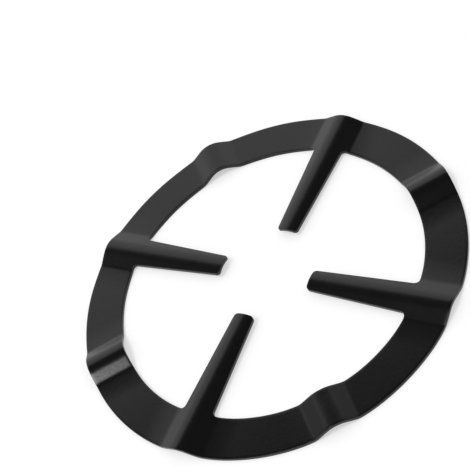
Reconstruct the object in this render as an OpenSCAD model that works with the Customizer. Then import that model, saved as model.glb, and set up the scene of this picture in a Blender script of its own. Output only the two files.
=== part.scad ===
// Stove reducer ring: one pressed sheet ring that lets a small pot stand on a large burner.
// Fingers reach in from the ring under the pot, and the flame comes up between them.
// A ridge runs along each finger and out across the ring. Halfway between the fingers a hump crosses the ring.
// The ring's axis is Z, the underside of its flats is Z = 0, and the first finger points in along X.

/* [Ring] */
// Outer diameter of the ring
ring_d = 140; // [110:1:180]
// Width of the band that makes the ring, from its outer to its inner edge
band_w = 14.4; // [10:0.1:20]
// Thickness of the sheet
sheet_t = 1.2; // [0.8:0.1:2]

/* [Fingers] */
// Number of fingers, with one hump between each two
finger_count = 4; // [3:1:5]
// Diameter of the clear circle between the finger tips
tip_gap_d = 35.5; // [24:0.5:60]
// Width of a finger where it leaves the ring
finger_root_w = 11.2; // [8:0.1:16]
// Width of a finger at its tip
finger_tip_w = 7.7; // [5:0.1:11]
// Radius of the two corners of a finger's tip
tip_corner_r = 1.3; // [0.5:0.1:2.4]
// Radius of the fillets where a finger meets the ring
root_fillet_r = 1.5; // [0.5:0.1:4]

/* [Ridges along the fingers] */
// Height of a ridge above the flats
ridge_h = 2.7; // [1.8:0.1:4]
// Slope of a ridge's flanks, in degrees
ridge_slope = 21; // [15:1:35]
// Radius of a ridge's crest, on the top side
ridge_crest_r = 9; // [4:0.5:12]

/* [Humps across the ring] */
// Height of a hump above the flats
hump_h = 3.2; // [1.8:0.1:4]
// Slope of a hump's flanks, in degrees
hump_slope = 26.5; // [15:0.5:35]
// Radius of a hump's crest, on the top side
hump_crest_r = 9; // [4:0.5:12]

/* [Foot of every ridge and hump] */
// Radius of the bend at the foot of a flank, on the top side
foot_r = 4.5; // [1:0.5:6]
// Slope at which that bend runs out into the slow sweep, in degrees
sweep_slope = 4; // [2:0.5:9]
// Radius of the slow sweep from the foot bend down to the flat
sweep_r = 120; // [40:5:150]

/* [Hidden] */
$fn = 180;
ring_r = ring_d / 2;
inner_r = ring_r - band_w;
tip_r = tip_gap_d / 2;
// Largest angle between two points of an arc, in degrees
section_step = 2.5;
corner_step = 10;
// How far a finger's fillets run into the ring, so that the two outlines cross cleanly
fillet_lap = 0.01;
// How far a rib's section runs on over the flat beside it
flat_lap = 1;
// How far a tool that cuts or forms the sheet reaches past it
spare = 1;
// Lean of a finger's side from the finger's middle line
finger_taper = atan((finger_root_w - finger_tip_w) / 2 / (inner_r - tip_r));

// Angles from one end of an arc to the other
function arc_angles(from, to, step) =
    let (n = ceil(abs(to - from) / step))
    [for (i = [0 : n]) from + (to - from) * i / n];

// Points of a plain arc in the plan
function plan_arc(centre, r, from, to) =
    [for (a = arc_angles(from, to, corner_step)) centre + r * [cos(a), sin(a)]];

// Points of an arc in a rib's section, each as [across, height, slope]. A negative radius bends upwards.
function section_arc(centre, r, from, to) =
    [for (a = arc_angles(from, to, section_step)) [centre[0] + r * sin(a), centre[1] + r * cos(a), a]];

// Top side of half a rib, from its crest out to the flat: crest arc, straight flank, foot bend, slow sweep.
// The crest arc is kept small enough for its flank to reach it.
function rib_half(h, slope, crest_r) =
    let (
        sweep_drop = sweep_r * (1 - cos(sweep_slope)),
        foot_drop = foot_r * (cos(sweep_slope) - cos(slope)),
        r = min(crest_r, (h - foot_drop - sweep_drop) / (1 - cos(slope))),
        flank_drop = h - r * (1 - cos(slope)) - foot_drop - sweep_drop,
        foot_from = r * sin(slope) + flank_drop / tan(slope),
        foot_mid = [foot_from + foot_r * sin(slope), sheet_t + sweep_drop + foot_r * cos(sweep_slope)],
        sweep_from = foot_mid[0] - foot_r * sin(sweep_slope),
        sweep_mid = [sweep_from + sweep_r * sin(sweep_slope), sheet_t + sweep_r],
        sweep = section_arc(sweep_mid, -sweep_r, sweep_slope, 0)
    )
    concat(
        section_arc([0, sheet_t + h - r], r, 0, slope),
        section_arc(foot_mid, -foot_r, slope, sweep_slope),
        [for (i = [1 : len(sweep) - 1]) sweep[i]]
    );

// Half the width of a rib, out to where its sweep meets the flat
function rib_reach(half) = half[len(half) - 1][0];

ridge_half = rib_half(ridge_h, ridge_slope, ridge_crest_r);
hump_half = rib_half(hump_h, hump_slope, hump_crest_r);

// Both sides of a half rib, from its left end over the crest to its right end
function both_sides(points) =
    concat(
        [for (i = [len(points) - 1 : -1 : 1]) [-points[i][0], points[i][1]]],
        [for (p = points) [p[0], p[1]]]
    );

// Section of the sheet across a rib: the underside follows the top side one sheet thickness below it
module rib_section(half) {
    edge = rib_reach(half) + flat_lap;
    under = [for (p = half) [p[0] - sheet_t * sin(p[2]), p[1] - sheet_t * cos(p[2])]];
    under_line = both_sides(under);
    polygon(concat(
        [[-edge, sheet_t]],
        both_sides(half),
        [[edge, sheet_t], [edge, 0]],
        [for (i = [len(under_line) - 1 : -1 : 0]) under_line[i]],
        [[-edge, 0]]
    ));
}

// A rib that points out along X, from a given distance off the axis to past the ring's outer edge
module rib(half, from) {
    translate([from, 0, 0])
        rotate([90, 0, 90])
            linear_extrude(ring_r + spare - from)
                rib_section(half);
}

// The part of the flat sheet that a rib takes the place of
module rib_strip(half) {
    w = rib_reach(half) + flat_lap / 2;
    translate([0, -w, -spare])
        cube([ring_r + 2 * spare, 2 * w, sheet_t + 2 * spare]);
}

module at_fingers() {
    for (i = [0 : finger_count - 1])
        rotate(i * 360 / finger_count)
            children();
}

module at_humps() {
    rotate(180 / finger_count)
        at_fingers()
            children();
}

// The formed sheet before its outline is cut: flats, ridges and humps
module formed_sheet() {
    difference() {
        cylinder(r = ring_r + spare, h = sheet_t);
        at_fingers() rib_strip(ridge_half);
        at_humps() rib_strip(hump_half);
    }
    at_fingers() rib(ridge_half, tip_r - spare);
    // A hump starts just inside the ring's inner edge, clear of the fingers
    hump_w = rib_reach(hump_half) + flat_lap;
    at_humps() rib(hump_half, sqrt(inner_r * inner_r - hump_w * hump_w) - spare);
}

// One side of a finger's outline, from its tip corner to its root fillet
function finger_side() =
    let (
        slant = tan(finger_taper),
        corner_mid = [
            tip_r + tip_corner_r,
            finger_tip_w / 2 + tip_corner_r * slant - tip_corner_r / cos(finger_taper)
        ],
        // The fillet's middle is one radius off the finger's side and one radius inside the ring's edge
        seat_r = inner_r + fillet_lap - root_fillet_r,
        offset_v = finger_tip_w / 2 - tip_r * slant + root_fillet_r / cos(finger_taper),
        fillet_u = (sqrt(seat_r * seat_r * (1 + slant * slant) - offset_v * offset_v) - offset_v * slant)
            / (1 + slant * slant),
        fillet_mid = [fillet_u, offset_v + fillet_u * slant]
    )
    concat(
        plan_arc(corner_mid, tip_corner_r, 180, 90 + finger_taper),
        plan_arc(fillet_mid, root_fillet_r, finger_taper - 90, atan2(fillet_mid[1], fillet_mid[0]))
    );

// Outline of a finger that lies along X, with its root let into the ring
module finger_outline() {
    side = finger_side();
    root_v = side[len(side) - 1][1];
    root_u = inner_r + band_w / 2;
    polygon(concat(
        side,
        [[root_u, root_v], [root_u, -root_v]],
        [for (i = [len(side) - 1 : -1 : 0]) [side[i][0], -side[i][1]]]
    ));
}

// The blank that the part is cut to: ring and fingers, as a prism taller than the formed sheet
module blank() {
    blank_h = sheet_t + max(ridge_h, hump_h) + 2 * spare;
    translate([0, 0, -spare]) {
        difference() {
            cylinder(r = ring_r, h = blank_h);
            translate([0, 0, -spare])
                cylinder(r = inner_r, h = blank_h + 2 * spare);
        }
        at_fingers()
            linear_extrude(blank_h)
                finger_outline();
    }
}

module reducer_ring() {
    color([0.09, 0.09, 0.1])
        intersection() {
            formed_sheet();
            blank();
        }
}

reducer_ring();
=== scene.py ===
"""Stove reducer ring: the dressed model, its coating, a studio and a camera, in metres."""

import math

import bpy
import numpy as np
from mathutils import Matrix, Vector


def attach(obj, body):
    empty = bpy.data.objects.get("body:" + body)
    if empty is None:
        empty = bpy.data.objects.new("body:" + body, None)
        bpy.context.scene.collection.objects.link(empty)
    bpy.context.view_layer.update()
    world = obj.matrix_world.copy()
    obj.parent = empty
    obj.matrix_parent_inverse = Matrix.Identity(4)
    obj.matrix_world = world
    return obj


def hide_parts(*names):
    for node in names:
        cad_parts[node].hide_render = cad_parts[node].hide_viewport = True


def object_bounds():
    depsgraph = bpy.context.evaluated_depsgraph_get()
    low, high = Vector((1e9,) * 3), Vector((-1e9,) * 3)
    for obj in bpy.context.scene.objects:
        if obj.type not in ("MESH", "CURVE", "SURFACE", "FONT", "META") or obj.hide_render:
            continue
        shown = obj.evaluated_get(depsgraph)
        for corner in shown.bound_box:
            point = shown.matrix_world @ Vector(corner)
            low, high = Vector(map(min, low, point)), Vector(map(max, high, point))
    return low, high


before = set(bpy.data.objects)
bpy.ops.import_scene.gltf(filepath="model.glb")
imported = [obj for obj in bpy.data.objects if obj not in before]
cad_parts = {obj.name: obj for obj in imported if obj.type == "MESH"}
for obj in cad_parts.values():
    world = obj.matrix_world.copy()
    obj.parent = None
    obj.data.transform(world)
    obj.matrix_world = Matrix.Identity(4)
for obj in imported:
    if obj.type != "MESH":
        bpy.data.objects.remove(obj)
CAD_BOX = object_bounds()

MM = 0.001
NODE = "reducer_ring"

# Sizes of the part, as in its source. The outer radius comes from the frame.
RING_R = (CAD_BOX[1].x - CAD_BOX[0].x) / 2
# Width of the band that makes the ring
BAND_W = 14.4 * MM
INNER_R = RING_R - BAND_W
SHEET_T = 1.2 * MM
FINGER_COUNT = 4
# Distance of the finger tips from the axis
TIP_R = 35.5 * MM / 2
FINGER_ROOT_W = 11.2 * MM
FINGER_TIP_W = 7.7 * MM
TIP_CORNER_R = 1.3 * MM
ROOT_FILLET_R = 1.5 * MM
# The bend at the foot of a rib's flank, and the slow sweep that it runs out into
FOOT_R = 4.5 * MM
SWEEP_SLOPE = math.radians(4)
SWEEP_R = 120 * MM

# Radius that the coating leaves on every cut edge
EDGE_R = 0.12 * MM
# Where the ring band's top side and underside end and that rounding begins
FACE_INNER_R = INNER_R + EDGE_R
FACE_OUTER_R = RING_R - EDGE_R

# Widest step between two lines of the mesh across a rib, and over the flat between two ribs
RIB_STEP = 0.45 * MM
FLAT_STEP = 1.8 * MM
# Steps of the mesh across the band, along a finger's side, round its tip corner, round its root fillet and
# round an edge's corner
BAND_STEPS = 16
SIDE_STEPS = 44
CORNER_STEPS = 7
FILLET_STEPS = 10
ROUNDING_STEPS = 4


class Rib:
    """A ridge or a hump: crest arc, straight flank, foot bend and slow sweep, measured across its crest."""

    def __init__(self, height, slope_deg, crest_r):
        self.slope = math.radians(slope_deg)
        self.crest_r = crest_r
        sin_s, cos_s = math.sin(self.slope), math.cos(self.slope)
        sin_w, cos_w = math.sin(SWEEP_SLOPE), math.cos(SWEEP_SLOPE)
        sweep_drop = SWEEP_R * (1 - cos_w)
        foot_drop = FOOT_R * (cos_w - cos_s)
        flank_drop = height - crest_r * (1 - cos_s) - foot_drop - sweep_drop
        foot_from = crest_r * sin_s + flank_drop / math.tan(self.slope)
        self.crest_mid = (0.0, SHEET_T + height - crest_r)
        self.foot_mid = (foot_from + FOOT_R * sin_s, SHEET_T + sweep_drop + FOOT_R * cos_w)
        self.sweep_mid = (self.foot_mid[0] + (SWEEP_R - FOOT_R) * sin_w, SHEET_T + SWEEP_R)
        # Where each stretch of the top side ends: crest, flank, foot bend, sweep
        foot_end = self.foot_mid[0] - FOOT_R * sin_w
        self.stops = (crest_r * sin_s, foot_from, foot_end, self.sweep_mid[0])

    def height(self, across, depth):
        """Height of the surface that lies a given depth below the top side, measured square to the sheet."""
        v = np.abs(across)
        sin_s, cos_s = math.sin(self.slope), math.cos(self.slope)
        crest_r, foot_r, sweep_r = self.crest_r - depth, FOOT_R + depth, SWEEP_R + depth
        crest = self.crest_mid[1] + np.sqrt(np.maximum(crest_r**2 - v**2, 0))
        flank = self.crest_mid[1] + crest_r * cos_s - (v - crest_r * sin_s) * math.tan(self.slope)
        foot = self.foot_mid[1] - np.sqrt(np.maximum(foot_r**2 - (self.foot_mid[0] - v) ** 2, 0))
        sweep = self.sweep_mid[1] - np.sqrt(np.maximum(sweep_r**2 - (self.sweep_mid[0] - v) ** 2, 0))
        ends = [
            crest_r * sin_s,
            self.foot_mid[0] - foot_r * sin_s,
            self.foot_mid[0] - foot_r * math.sin(SWEEP_SLOPE),
            self.sweep_mid[0],
        ]
        inside = [v < end for end in ends]
        return np.select(inside, [crest, flank, foot, sweep], SHEET_T - depth)


RIDGE = Rib(height=2.7 * MM, slope_deg=21, crest_r=9 * MM)
HUMP = Rib(height=3.2 * MM, slope_deg=26.5, crest_r=9 * MM)


def surface_height(x, y, depth):
    """Height of the sheet over points of the plan, a given depth below its top side.

    Ridges lie at the fingers' angles, and humps halfway between them.
    """
    step = math.pi / FINGER_COUNT
    turn = np.round(np.arctan2(y, x) / step)
    angle = turn * step
    across = -x * np.sin(angle) + y * np.cos(angle)
    on_ridge = np.mod(turn, 2) == 0
    return np.where(on_ridge, RIDGE.height(across, depth), HUMP.height(across, depth))


def steps(start, end, count):
    """Evenly spaced values after start, up to and with end."""
    return [start + (end - start) * i / count for i in range(1, count + 1)]


def lines_between(knots, spacing):
    """Positions from the first knot to the last, on every knot and no further apart than a spacing."""
    lines = [knots[0]]
    for a, b in zip(knots, knots[1:]):
        lines += steps(a, b, math.ceil((b - a) / spacing))
    return lines


def directions(angles):
    """Unit vectors of the plan at given angles."""
    return np.column_stack([np.cos(angles), np.sin(angles)])


def rotated(points, angle):
    """Points of the plan turned about the ring's axis."""
    c, s = math.cos(angle), math.sin(angle)
    points = np.asarray(points, float)
    return np.column_stack([points[:, 0] * c - points[:, 1] * s, points[:, 0] * s + points[:, 1] * c])


def arc(middle, radius, start, end, count):
    """Points of an arc and their directions from its middle."""
    away = directions(np.linspace(start, end, count + 1))
    return np.asarray(middle) + radius * away, away


def finger_angle(k):
    """Angle at which a finger lies in the plan."""
    return 2 * math.pi * k / FINGER_COUNT


def finger_edge():
    """Outline of one side of a finger along X, from its tip to its root, and its outward directions."""
    taper = math.atan((FINGER_ROOT_W - FINGER_TIP_W) / 2 / (INNER_R - TIP_R))
    slant = math.tan(taper)
    corner_mid = (
        TIP_R + TIP_CORNER_R,
        FINGER_TIP_W / 2 + TIP_CORNER_R * slant - TIP_CORNER_R / math.cos(taper),
    )
    # The fillet's middle is one radius off the finger's side and one radius inside the ring's edge
    seat_r = INNER_R - ROOT_FILLET_R
    offset_v = FINGER_TIP_W / 2 - TIP_R * slant + ROOT_FILLET_R / math.cos(taper)
    reach = math.sqrt(seat_r**2 * (1 + slant**2) - offset_v**2)
    fillet_u = (reach - offset_v * slant) / (1 + slant**2)
    fillet_mid = (fillet_u, offset_v + fillet_u * slant)

    corner, corner_out = arc(corner_mid, TIP_CORNER_R, math.pi, math.pi / 2 + taper, CORNER_STEPS)
    fillet_end = math.atan2(fillet_mid[1], fillet_mid[0])
    fillet_start = taper - math.pi / 2
    fillet, fillet_away = arc(fillet_mid, ROOT_FILLET_R, fillet_start, fillet_end, FILLET_STEPS)
    share = np.array(steps(0, 1, SIDE_STEPS))[:-1, None]
    side = corner[-1] + (fillet[0] - corner[-1]) * share
    side_out = np.repeat(corner_out[-1:], len(side), axis=0)
    return np.vstack([corner, side, fillet]), np.vstack([corner_out, side_out, -fillet_away])


def rib_columns():
    """Places of the mesh's lines across half a ridge and half a hump, and how many meet a finger."""
    edge, outward = finger_edge()
    root_v = (edge[-1] - EDGE_R * outward[-1])[1]
    on_root = lines_between([0.0] + [v for v in RIDGE.stops if v < root_v] + [root_v], RIB_STEP)
    beside_root = lines_between([root_v] + [v for v in RIDGE.stops if v > root_v], RIB_STEP)[1:]
    hump = lines_between([0.0, *HUMP.stops], RIB_STEP)
    return np.array(on_root + beside_root), np.array(hump), len(on_root)


def band_lines():
    """Angles of both ends of every line across the band, once round, and the finger that it meets.

    The lines over a rib run along it, and those over the flat between two ribs fan out. The finger is -1
    where a line meets none.
    """
    ridge, hump, root_count = rib_columns()
    inner, outer, finger_of = [], [], []
    rib_turn = math.pi / FINGER_COUNT
    for k in range(2 * FINGER_COUNT):
        is_ridge = k % 2 == 0
        half, following = (ridge, hump) if is_ridge else (hump, ridge)
        middle = k * rib_turn
        for i, v in enumerate(np.concatenate([-half[:0:-1], half])):
            inner.append(middle + math.asin(v / FACE_INNER_R))
            outer.append(middle + math.asin(v / FACE_OUTER_R))
            on_root = is_ridge and abs(i - (len(half) - 1)) < root_count
            finger_of.append(k // 2 if on_root else -1)
        next_inner = middle + rib_turn - math.asin(following[-1] / FACE_INNER_R)
        next_outer = middle + rib_turn - math.asin(following[-1] / FACE_OUTER_R)
        count = math.ceil((next_outer - outer[-1]) * FACE_OUTER_R / FLAT_STEP)
        inner += steps(inner[-1], next_inner, count)[:-1]
        outer += steps(outer[-1], next_outer, count)[:-1]
        finger_of += [-1] * (count - 1)
    return np.array(inner), np.array(outer), np.array(finger_of)


def root_lines(inner, finger_of, k):
    """The lines of the band that meet a finger's root, from its low side to its high side."""
    lines = np.flatnonzero(finger_of == k)
    off_axis = (inner[lines] - finger_angle(k) + math.pi) % (2 * math.pi) - math.pi
    return lines[np.argsort(off_axis)]


def finger_grid(root_v):
    """Points of the plan over a finger along X: rows from tip to root, in columns that end at root_v."""
    edge, outward = finger_edge()
    inset = edge - EDGE_R * outward
    columns = root_v / inset[-1][1]
    fillet_from = len(inset) - 1 - FILLET_STEPS
    rows = []
    for i, (u, v) in enumerate(inset):
        # Along the fillet the rows bow out more and more, until the last one follows the ring's inner edge
        bow = max(0.0, (i - fillet_from) / FILLET_STEPS)
        sag = np.sqrt(FACE_INNER_R**2 - (columns * v) ** 2) - math.sqrt(FACE_INNER_R**2 - v**2)
        rows.append(np.column_stack([u + bow * sag, columns * v]))
    return np.array(rows)


def closed(numbers):
    """A grid of vertex numbers whose last column meets its first."""
    return np.column_stack([numbers, numbers[:, 0]])


class SheetMesh:
    """Collects the vertices and faces of the sheet's top side, underside and rounded cut edges."""

    def __init__(self):
        self.points = []
        self.faces = []
        self.count = 0

    def add(self, plan, depth, rise=0.0):
        """Adds vertices over points of the plan, at a depth plus a rise, and returns their numbers."""
        plan = np.asarray(plan, float).reshape(-1, 2)
        z = surface_height(plan[:, 0], plan[:, 1], depth) + rise
        self.points.append(np.column_stack([plan, z]))
        numbers = np.arange(self.count, self.count + len(plan))
        self.count += len(plan)
        return numbers

    def grid(self, numbers, flip):
        """Adds faces between the rows and columns of a grid of vertex numbers."""
        a, b = numbers[:-1, :-1].ravel(), numbers[:-1, 1:].ravel()
        c, d = numbers[1:, 1:].ravel(), numbers[1:, :-1].ravel()
        self.faces.append(np.column_stack([a, d, c, b] if flip else [a, b, c, d]))

    def add_side(self, band, finger, roots, depth):
        """Adds the top side or the underside, and returns the numbers of its band and of each finger."""
        flip = depth == 0
        band_numbers = self.add(band, depth).reshape(band.shape[:2])
        self.grid(closed(band_numbers), flip)
        fingers = []
        for k, lines in enumerate(roots):
            turned = rotated(finger[:-1].reshape(-1, 2), finger_angle(k))
            numbers = self.add(turned, depth).reshape(len(finger) - 1, -1)
            # The last row is the band's own, so that finger and band are one surface
            numbers = np.vstack([numbers, band_numbers[0][lines]])
            self.grid(numbers, flip)
            fingers.append(numbers)
        return band_numbers, fingers

    def add_edge(self, above, below, outward):
        """Joins the top side to the underside round one loop by a cut edge with two rounded corners."""
        plan = np.vstack(self.points)[above][:, :2]
        bends = np.linspace(0, math.pi / 2, ROUNDING_STEPS + 1)[1:]
        rows = [above]
        for depth, sign, angles in ((0.0, -1, bends), (SHEET_T, 1, bends[::-1])):
            for a in angles:
                rise = sign * EDGE_R * (1 - math.cos(a))
                rows.append(self.add(plan + EDGE_R * math.sin(a) * outward, depth, rise))
        rows.append(below)
        self.grid(closed(np.array(rows)), True)


def hole_loop(top, under, inner, finger_of, roots):
    """Vertices above and below round the one opening in the ring, and the outward direction at each.

    The loop runs along each finger's low side to its tip, across the tip, back along its high side and on
    round the ring to the next finger. It is returned the other way round, so that its faces look outward.
    """
    _, high_side = finger_edge()
    low_side = high_side * (1, -1)
    loop = []
    for k, lines in enumerate(roots):
        above, below = top[1][k], under[1][k]
        low, high = rotated(low_side, finger_angle(k)), rotated(high_side, finger_angle(k))
        inwards = rotated([(-1, 0)], finger_angle(k))[0]
        for i in reversed(range(len(low))):
            loop.append((above[i][0], below[i][0], low[i]))
        for j in range(1, above.shape[1] - 1):
            loop.append((above[0][j], below[0][j], inwards))
        for i in range(len(high)):
            loop.append((above[i][-1], below[i][-1], high[i]))
        j = (lines[-1] + 1) % len(inner)
        while finger_of[j] < 0:
            loop.append((top[0][0][j], under[0][0][j], -directions(inner[j])[0]))
            j = (j + 1) % len(inner)
    loop.reverse()
    return [np.array(column) for column in zip(*loop)]


def build_sheet():
    """The whole sheet as one closed mesh of quads that follow the ridges, the humps and the fingers."""
    inner, outer, finger_of = band_lines()
    start, end = FACE_INNER_R * directions(inner), FACE_OUTER_R * directions(outer)
    share = np.linspace(0, 1, BAND_STEPS + 1)[:, None, None]
    band = start[None] * (1 - share) + end[None] * share
    roots = [root_lines(inner, finger_of, k) for k in range(FINGER_COUNT)]
    finger = finger_grid(start[roots[0]][:, 1])

    mesh = SheetMesh()
    top = mesh.add_side(band, finger, roots, 0.0)
    under = mesh.add_side(band, finger, roots, SHEET_T)
    mesh.add_edge(top[0][-1], under[0][-1], directions(outer))
    mesh.add_edge(*hole_loop(top, under, inner, finger_of, roots))
    return mesh


def make_object(name, mesh):
    """A smooth-shaded Blender object from the collected vertices and faces."""
    data = bpy.data.meshes.new(name)
    data.from_pydata(np.vstack(mesh.points).tolist(), [], np.vstack(mesh.faces).tolist())
    data.validate()
    data.polygons.foreach_set("use_smooth", [True] * len(data.polygons))
    data.update()
    piece = bpy.data.objects.new(name, data)
    bpy.context.scene.collection.objects.link(piece)
    return piece


class Nodes:
    """A short way to write a node tree."""

    def __init__(self, tree):
        self.tree = tree
        self.tree.nodes.clear()

    def add(self, kind, **values):
        """Adds a node and sets its properties by name, and its inputs where no property has the name."""
        node = self.tree.nodes.new(kind)
        for key, value in values.items():
            if hasattr(node, key):
                setattr(node, key, value)
            else:
                self.feed(node.inputs[key.replace("_", " ")], value)
        return node

    def feed(self, socket, value):
        """Links a node's output to a socket, or sets the socket's own value."""
        if isinstance(value, bpy.types.NodeSocket):
            self.tree.links.new(value, socket)
        else:
            socket.default_value = value


def new_material(name):
    """A material and the nodes to write it with."""
    material = bpy.data.materials.new(name)
    material.use_nodes = True
    return material, Nodes(material.node_tree)


def grey(level):
    """A neutral colour of one level."""
    return (level, level, level, 1)


# The coating's own colour, and how far the grain takes it up and down as a share of it
COAT_TONE = 0.0058
COAT_TONE_SPREAD = 0.25
COAT_IOR = 1.435
# Roughness where the gloss is highest and lowest
COAT_ROUGH = (0.205, 0.235)
# Part of the noise's range that takes the roughness from one to the other
CLOUD_RANGE = (0.3, 0.7)
# Features per metre of the change of gloss, the orange peel and the grain, and the two bumps' depths
CLOUD_SCALE = 60.0
PEEL_SCALE = 900.0
PEEL_DEPTH = 0.4 * MM
PEEL_STRENGTH = 0.045
GRAIN_SCALE = 3200.0
GRAIN_DEPTH = 0.06 * MM
GRAIN_STRENGTH = 0.12


def coat_material():
    """Satin black heat-proof coating: fine grain, a little orange peel and a faint change of gloss."""
    material, n = new_material("black_coat")
    place = n.add("ShaderNodeTexCoord").outputs["Object"]
    grain = n.add("ShaderNodeTexNoise", Vector=place, Scale=GRAIN_SCALE, Detail=2.0, Roughness=0.6)
    peel = n.add("ShaderNodeTexNoise", Vector=place, Scale=PEEL_SCALE, Detail=2.0, Roughness=0.5)
    cloud = n.add("ShaderNodeTexNoise", Vector=place, Scale=CLOUD_SCALE, Detail=3.0, Roughness=0.6)
    rough = n.add("ShaderNodeMapRange", Value=cloud.outputs["Fac"])
    for side, from_value, to_value in zip(("Min", "Max"), CLOUD_RANGE, COAT_ROUGH):
        n.feed(rough.inputs["From " + side], from_value)
        n.feed(rough.inputs["To " + side], to_value)
    # Inputs 6 and 7 and output 2 are the ones that a mix of colours uses
    tone = n.add("ShaderNodeMix", data_type="RGBA")
    n.feed(tone.inputs["Factor"], grain.outputs["Fac"])
    n.feed(tone.inputs[6], grey(COAT_TONE * (1 - COAT_TONE_SPREAD)))
    n.feed(tone.inputs[7], grey(COAT_TONE * (1 + COAT_TONE_SPREAD)))
    peel_bump = n.add(
        "ShaderNodeBump", Strength=PEEL_STRENGTH, Distance=PEEL_DEPTH, Height=peel.outputs["Fac"]
    )
    bump = n.add(
        "ShaderNodeBump", Strength=GRAIN_STRENGTH, Distance=GRAIN_DEPTH, Height=grain.outputs["Fac"]
    )
    n.feed(bump.inputs["Normal"], peel_bump.outputs["Normal"])
    shader = n.add("ShaderNodeBsdfPrincipled", IOR=COAT_IOR)
    n.feed(shader.inputs["Base Color"], tone.outputs[2])
    n.feed(shader.inputs["Roughness"], rough.outputs["Result"])
    n.feed(shader.inputs["Normal"], bump.outputs["Normal"])
    n.add("ShaderNodeOutputMaterial", Surface=shader.outputs["BSDF"])
    return material


# The floor lies this much below the ring, so that no two faces share a plane
FLOOR_DROP = 0.05 * MM
FLOOR_HALF_W = 6.0
# The floor's own colour, and the plain white that is added to it where it is seen
FLOOR_WHITE = 0.55
FLOOR_GLOW = 0.49

# The studio, as the reflections on the ring show it: far grey walls and a black ceiling, open to the white
# surround on the side beyond the ring, and one soft box. Each turn is an angle in the plan from X.
OPENING_TURN = math.radians(47)
ROOM_FAR = 4.3
ROOM_HALF_W = 3.95
ROOM_H = 5.05
WALL_LEVEL = 0.45
CEILING_LEVEL = 0.01
# A grey strip along the ceiling's open side, a little below it
STRIP_FROM = 4.0
STRIP_DROP = 1.0 * MM
STRIP_LEVEL = 0.22
BOX_TURN = math.radians(170)
BOX_ELEVATION = math.radians(64)
BOX_DISTANCE = 3.0
BOX_SIZE = 0.86
BOX_WATTS = 28.0
# Level of the surround where it only gives soft light
SURROUND_LEVEL = 0.7


def seen_directly(n):
    """One where a ray comes from the camera, a gloss or a glass, and zero where it gathers soft light."""
    paths = n.add("ShaderNodeLightPath").outputs
    level = paths["Is Camera Ray"]
    for name in ("Is Glossy Ray", "Is Transmission Ray"):
        either = n.add("ShaderNodeMath", operation="MAXIMUM")
        n.feed(either.inputs[0], level)
        n.feed(either.inputs[1], paths[name])
        level = either.outputs[0]
    return level


def floor_material():
    """White floor: its own colour under the lamps, which keeps the ring's shadow, and some plain white."""
    material, n = new_material("floor_white")
    diffuse = n.add("ShaderNodeBsdfDiffuse", Color=grey(FLOOR_WHITE))
    strength = n.add("ShaderNodeMath", operation="MULTIPLY")
    n.feed(strength.inputs[0], seen_directly(n))
    n.feed(strength.inputs[1], FLOOR_GLOW)
    glow = n.add("ShaderNodeEmission", Color=grey(1), Strength=strength.outputs[0])
    both = n.add("ShaderNodeAddShader")
    n.feed(both.inputs[0], diffuse.outputs[0])
    n.feed(both.inputs[1], glow.outputs[0])
    # From below the floor is clear, so that the ring's underside can be looked at
    one_sided = n.add("ShaderNodeMixShader")
    n.feed(one_sided.inputs[0], n.add("ShaderNodeNewGeometry").outputs["Backfacing"])
    n.feed(one_sided.inputs[1], both.outputs[0])
    n.feed(one_sided.inputs[2], n.add("ShaderNodeBsdfTransparent").outputs[0])
    n.add("ShaderNodeOutputMaterial", Surface=one_sided.outputs[0])
    return material


def even_material(name, level):
    """A plain grey of one brightness."""
    material, n = new_material(name)
    glow = n.add("ShaderNodeEmission", Color=grey(1), Strength=level)
    n.add("ShaderNodeOutputMaterial", Surface=glow.outputs[0])
    return material


def stage_mesh(name, corners, faces, material):
    """A mesh of the studio, which isn't part of the object."""
    data = bpy.data.meshes.new(name)
    data.from_pydata(corners, [], faces)
    data.materials.append(material)
    piece = bpy.data.objects.new(name, data)
    bpy.context.scene.collection.objects.link(piece)
    return piece


def make_floor():
    """A wide white floor at the level that the ring rests on."""
    w, z = FLOOR_HALF_W, CAD_BOX[0].z - FLOOR_DROP
    corners = [(-w, -w, z), (w, -w, z), (w, w, z), (-w, w, z)]
    stage_mesh("floor", corners, [(0, 1, 2, 3)], floor_material())


def room_corners(near, far, z):
    """Four corners of the room's plan at one height, from one end of its open side round to the other."""
    ahead = Vector((math.cos(OPENING_TURN), math.sin(OPENING_TURN), 0))
    left = Vector((-math.sin(OPENING_TURN), math.cos(OPENING_TURN), 0))
    plan = ((far, -ROOM_HALF_W), (near, -ROOM_HALF_W), (near, ROOM_HALF_W), (far, ROOM_HALF_W))
    return [tuple(a * ahead + b * left + Vector((0, 0, z))) for a, b in plan]


def make_room():
    """Walls on three sides and a ceiling. Only reflections show them, and they cast no shadow."""
    low = room_corners(-ROOM_FAR, ROOM_FAR, 0)
    high = room_corners(-ROOM_FAR, ROOM_FAR, ROOM_H)
    strip = room_corners(STRIP_FROM, ROOM_FAR, ROOM_H - STRIP_DROP)
    wall_faces = [(i, i + 1, i + 5, i + 4) for i in range(3)]
    level_face = [(0, 1, 2, 3)]
    pieces = [
        stage_mesh("room_walls", low + high, wall_faces, even_material("wall_grey", WALL_LEVEL)),
        stage_mesh("room_ceiling", high, level_face, even_material("ceiling_black", CEILING_LEVEL)),
        stage_mesh("room_ceiling_strip", strip, level_face, even_material("strip_grey", STRIP_LEVEL)),
    ]
    for piece in pieces:
        piece.visible_camera = False
        piece.visible_diffuse = False
        piece.visible_shadow = False


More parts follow.
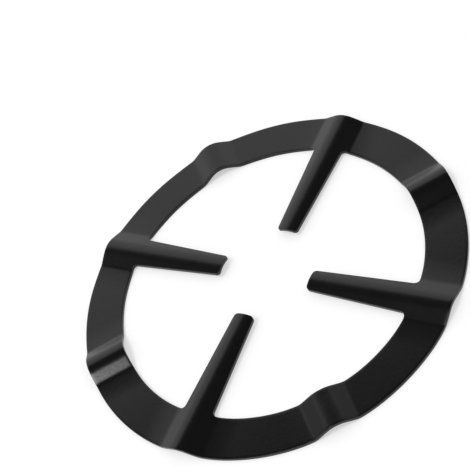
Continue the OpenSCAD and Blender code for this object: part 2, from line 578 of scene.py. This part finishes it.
def make_surround():
    """White all round where it is seen directly, and an even soft light for the rest."""
    world = bpy.data.worlds.new("surround")
    world.use_nodes = True
    bpy.context.scene.world = world
    n = Nodes(world.node_tree)
    # Inputs 2 and 3 are the two values that a mix of plain numbers uses
    level = n.add("ShaderNodeMix", data_type="FLOAT")
    n.feed(level.inputs[0], seen_directly(n))
    n.feed(level.inputs[2], SURROUND_LEVEL)
    n.feed(level.inputs[3], 1.0)
    background = n.add("ShaderNodeBackground", Color=grey(1), Strength=level.outputs[0])
    n.add("ShaderNodeOutputWorld", Surface=background.outputs[0])


def make_soft_box():
    """The soft box, facing the ring."""
    sideways = math.cos(BOX_ELEVATION)
    away = Vector((
        sideways * math.cos(BOX_TURN),
        sideways * math.sin(BOX_TURN),
        math.sin(BOX_ELEVATION),
    ))
    data = bpy.data.lights.new("soft_box", "AREA")
    data.shape = "SQUARE"
    data.size = BOX_SIZE
    data.energy = BOX_WATTS
    light = bpy.data.objects.new("soft_box", data)
    light.location = away * BOX_DISTANCE
    light.rotation_mode = "QUATERNION"
    light.rotation_quaternion = away.to_track_quat("Z", "Y")
    bpy.context.scene.collection.objects.link(light)


# The camera, found by fitting the part's outline to the photo's: where it looks from, how far it is turned
# about its own line of sight, its distance, and where the ring's middle falls in the frame, in pixels.
FRAME_PX = 470
CAMERA_TURN = math.radians(38.03)
CAMERA_ELEVATION = math.radians(45.20)
CAMERA_ROLL = math.radians(33.58)
CAMERA_DISTANCE = 451.96 * MM
PX_PER_M = 2.9168 / MM
MIDDLE_PX = (267.87, 275.20)
SENSOR_MM = 36.0
# Nothing nearer to the camera than this is drawn
CLIP_START = 0.01


def camera_axes():
    """The camera's right, up and back directions in the part's frame."""
    turn, tilt, roll = CAMERA_TURN, CAMERA_ELEVATION, CAMERA_ROLL
    level_right = Vector((math.cos(turn), -math.sin(turn), 0))
    away = Vector((math.sin(turn), math.cos(turn), 0))
    z = Vector((0, 0, 1))
    level_up = math.sin(tilt) * away + math.cos(tilt) * z
    back = math.sin(tilt) * z - math.cos(tilt) * away
    right = math.cos(roll) * level_right - math.sin(roll) * level_up
    up = math.sin(roll) * level_right + math.cos(roll) * level_up
    return right, up, back


def make_camera():
    """The camera at the photo's viewing angle, with no shift."""
    right, up, back = camera_axes()
    data = bpy.data.cameras.new("photo_view")
    data.sensor_width = SENSOR_MM
    data.lens = PX_PER_M * CAMERA_DISTANCE / FRAME_PX * SENSOR_MM
    data.clip_start = CLIP_START
    camera = bpy.data.objects.new("photo_view", data)
    bpy.context.scene.collection.objects.link(camera)
    # The fit measured from the top side of the ring's flats
    place = Vector((0, 0, SHEET_T)) + CAMERA_DISTANCE * back
    place -= (MIDDLE_PX[0] - FRAME_PX / 2) / PX_PER_M * right
    place += (MIDDLE_PX[1] - FRAME_PX / 2) / PX_PER_M * up
    axes = Matrix((right, up, back)).transposed().to_4x4()
    camera.matrix_world = Matrix.Translation(place) @ axes
    bpy.context.scene.camera = camera


sheet = make_object("coated_ring", build_sheet())
sheet.data.materials.append(coat_material())
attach(sheet, "root")
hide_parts(NODE)
make_floor()
make_room()
make_surround()
make_soft_box()
make_camera()
bpy.context.scene.view_settings.view_transform = "Standard"
